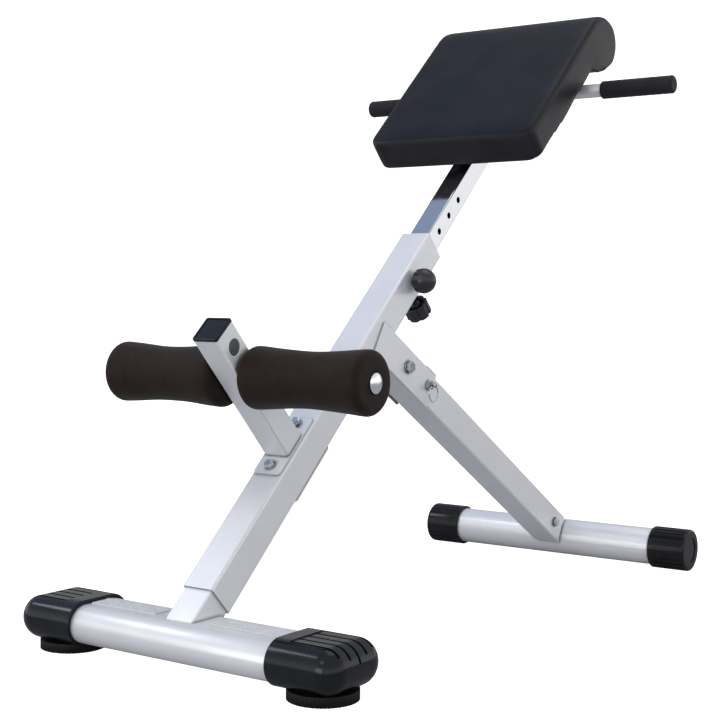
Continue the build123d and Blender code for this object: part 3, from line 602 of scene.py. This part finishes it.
cm = pad.modifiers.new("cloth", "CLOTH")
st = cm.settings
st.quality = 5
st.mass = 0.2
st.tension_stiffness = 60
st.compression_stiffness = 60
st.shear_stiffness = 20
st.bending_stiffness = 4.0
st.use_pressure = True
st.uniform_pressure_force = 4.0
st.effector_weights.gravity = 0
st.vertex_group_mass = "held"
cm.collision_settings.use_collision = False
cm.collision_settings.use_self_collision = False
cm.point_cache.frame_start = 1
cm.point_cache.frame_end = 20
for f_ in range(1, 21):
    scene.frame_set(f_)
dg = bpy.context.evaluated_depsgraph_get()
ev = pad.evaluated_get(dg).to_mesh()
a = np.empty(len(ev.vertices) * 3)
ev.vertices.foreach_get("co", a)
a = a.reshape(-1, 3)
pad.evaluated_get(dg).to_mesh_clear()
pad.modifiers.clear()
scene.frame_set(1)
# moulded foam under the cover: the swelling is kept, its ripples are averaged out
move = a - rest
ed = np.empty(len(pad.data.edges) * 2, dtype=np.int64)
pad.data.edges.foreach_get("vertices", ed)
ed = ed.reshape(-1, 2)
deg = np.bincount(ed.ravel(), minlength=len(rest)).astype(float)[:, None]
nrm = np.empty(len(rest) * 3)
pad.data.vertex_normals.foreach_get("vector", nrm)
nrm = nrm.reshape(-1, 3)
out_by = np.sum(move * nrm, axis=1, keepdims=True)
out_by = np.clip(out_by, 0.0, 0.006)
for _ in range(60):
    acc = np.zeros_like(out_by)
    np.add.at(acc, ed[:, 0], out_by[ed[:, 1]])
    np.add.at(acc, ed[:, 1], out_by[ed[:, 0]])
    out_by = 0.5 * out_by + 0.5 * acc / deg
out_by *= 0.0022 / max(1e-9, float(np.percentile(out_by, 90)))
write(pad, rest + nrm * np.minimum(out_by, 0.0026))

sub = pad.modifiers.new("fine", "SUBSURF")
sub.levels = sub.render_levels = 1
pad.data.polygons.foreach_set("use_smooth", [True] * len(pad.data.polygons))
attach(pad, "seat")
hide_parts("pad_cushion")

# ------------------------------------------------------------------ floor, light, camera
floor_me = bpy.data.meshes.new("studio_floor")
bm = bmesh.new()
bmesh.ops.create_circle(bm, cap_ends=True, segments=96, radius=40.0)
bm.to_mesh(floor_me)
bm.free()
floor = bpy.data.objects.new("studio_floor", floor_me)
scene.collection.objects.link(floor)
fm = bpy.data.materials.new("floor_pale")
fm.use_nodes = True
nt = fm.node_tree
nt.nodes.clear()
out = nt.nodes.new("ShaderNodeOutputMaterial")
dif = nt.nodes.new("ShaderNodeBsdfDiffuse")
dif.inputs["Color"].default_value = (0.42, 0.42, 0.43, 1)
emi = nt.nodes.new("ShaderNodeEmission")
emi.inputs["Color"].default_value = (1, 1, 1, 1)
emi.inputs["Strength"].default_value = 1.15
add = nt.nodes.new("ShaderNodeAddShader")
nt.links.new(dif.outputs[0], add.inputs[0])
nt.links.new(emi.outputs[0], add.inputs[1])
# the floor looks white, but bounces no more light than a pale matt floor would
lp = nt.nodes.new("ShaderNodeLightPath")
pick = nt.nodes.new("ShaderNodeMixShader")
nt.links.new(lp.outputs["Is Camera Ray"], pick.inputs[0])
nt.links.new(dif.outputs[0], pick.inputs[1])
nt.links.new(add.outputs[0], pick.inputs[2])
nt.links.new(pick.outputs[0], out.inputs[0])
floor_me.materials.append(fm)

world = bpy.data.worlds.new("studio")
scene.world = world
world.use_nodes = True
nt = world.node_tree
nt.nodes.clear()
wo = nt.nodes.new("ShaderNodeOutputWorld")
bg = nt.nodes.new("ShaderNodeBackground")
nt.links.new(bg.outputs[0], wo.inputs[0])
tc = nt.nodes.new("ShaderNodeTexCoord")
sep = nt.nodes.new("ShaderNodeSeparateXYZ")
nt.links.new(tc.outputs["Generated"], sep.inputs[0])
# dark below the horizon, white studio wall round it, softer overhead
ramp = nt.nodes.new("ShaderNodeValToRGB")
mr = nt.nodes.new("ShaderNodeMapRange")
mr.inputs["From Min"].default_value = -1
mr.inputs["From Max"].default_value = 1
nt.links.new(sep.outputs["Z"], mr.inputs["Value"])
nt.links.new(mr.outputs[0], ramp.inputs[0])
cr = ramp.color_ramp
cr.elements[0].position = 0.0
cr.elements[0].color = (0.10, 0.10, 0.115, 1)
cr.elements[1].position = 1.0
cr.elements[1].color = (0.45, 0.46, 0.485, 1)
for pos, col in ((0.30, (0.13, 0.13, 0.15, 1)), (0.46, (0.30, 0.30, 0.33, 1)), (0.492, (1.0, 1.0, 1.0, 1)),
                 (0.61, (1.0, 1.0, 1.0, 1)), (0.72, (0.53, 0.54, 0.565, 1))):
    e = cr.elements.new(pos)
    e.color = col
# a cool panel up and to the left
dot = nt.nodes.new("ShaderNodeVectorMath")
dot.operation = "DOT_PRODUCT"
nt.links.new(tc.outputs["Generated"], dot.inputs[0])
dot.inputs[1].default_value = Vector((-0.60, -0.02, 0.80)).normalized()
m2 = nt.nodes.new("ShaderNodeMapRange")
m2.interpolation_type = "SMOOTHSTEP"
m2.inputs["From Min"].default_value = 0.72
m2.inputs["From Max"].default_value = 0.96
nt.links.new(dot.outputs["Value"], m2.inputs["Value"])
mixc = nt.nodes.new("ShaderNodeMix")
mixc.data_type = "RGBA"
nt.links.new(m2.outputs[0], mixc.inputs["Factor"])
nt.links.new(ramp.outputs[0], mixc.inputs[6])
mixc.inputs[7].default_value = (0.26, 0.33, 0.47, 1)
# behind the bench the room is dim, so that level black tops stay black; the backdrop itself still looks white
dot2 = nt.nodes.new("ShaderNodeVectorMath")
dot2.operation = "DOT_PRODUCT"
nt.links.new(tc.outputs["Generated"], dot2.inputs[0])
dot2.inputs[1].default_value = Vector((-0.57, 0.80, 0.20)).normalized()
m3 = nt.nodes.new("ShaderNodeMapRange")
m3.interpolation_type = "SMOOTHSTEP"
m3.inputs["From Min"].default_value = 0.55
m3.inputs["From Max"].default_value = 0.90
nt.links.new(dot2.outputs["Value"], m3.inputs["Value"])
dim = nt.nodes.new("ShaderNodeMix")
dim.data_type = "RGBA"
nt.links.new(m3.outputs[0], dim.inputs["Factor"])
nt.links.new(mixc.outputs[2], dim.inputs[6])
dim.inputs[7].default_value = (0.30, 0.305, 0.32, 1)
seen = nt.nodes.new("ShaderNodeLightPath")
white = nt.nodes.new("ShaderNodeMix")
white.data_type = "RGBA"
nt.links.new(seen.outputs["Is Camera Ray"], white.inputs["Factor"])
nt.links.new(dim.outputs[2], white.inputs[6])
white.inputs[7].default_value = (1, 1, 1, 1)
nt.links.new(white.outputs[2], bg.inputs["Color"])
bg.inputs["Strength"].default_value = 1.38


def area(name, loc, target, size, power, colour=(1, 1, 1)):
    d = bpy.data.lights.new(name, "AREA")
    d.shape = "RECTANGLE"
    d.size, d.size_y = size
    d.energy = power
    d.color = colour
    o = bpy.data.objects.new(name, d)
    scene.collection.objects.link(o)
    o.location = loc
    o.rotation_euler = (Vector(target) - Vector(loc)).to_track_quat("-Z", "Y").to_euler()
    return o


area("key_front", (0.15, -3.0, 2.6), (0, 0, 0.45), (0.9, 0.9), 5)
area("fill_front", (-0.2, -3.3, 0.55), (0, 0, 0.5), (1.8, 0.9), 15)
area("key_left", (-2.4, -1.6, 2.6), (0, 0, 0.4), (1.0, 1.0), 16)
area("top", (0.3, 0.6, 3.2), (0, 0.1, 0.3), (2.0, 2.0), 14)

cam_d = bpy.data.cameras.new("cam")
cam = bpy.data.objects.new("cam", cam_d)
scene.collection.objects.link(cam)
yaw, pitch, roll = math.radians(34.80), math.radians(2.60), math.radians(0.49)
fwd = Vector((-math.sin(yaw) * math.cos(pitch), math.cos(yaw) * math.cos(pitch), -math.sin(pitch)))
right = Vector((math.cos(yaw), math.sin(yaw), 0))
up = right.cross(fwd)
r2 = right * math.cos(roll) + up * math.sin(roll)
u2 = -right * math.sin(roll) + up * math.cos(roll)
cam.matrix_world = Matrix(((r2.x, u2.x, -fwd.x, 1.1660), (r2.y, u2.y, -fwd.y, -1.79588), (r2.z, u2.z, -fwd.z, 0.46647), (0, 0, 0, 1)))
cam_d.sensor_width = 36.0
cam_d.lens = 36.0 * 1402.32 / 725.0
cam_d.clip_start, cam_d.clip_end = 0.05, 200
scene.camera = cam
scene.view_settings.view_transform = "Standard"
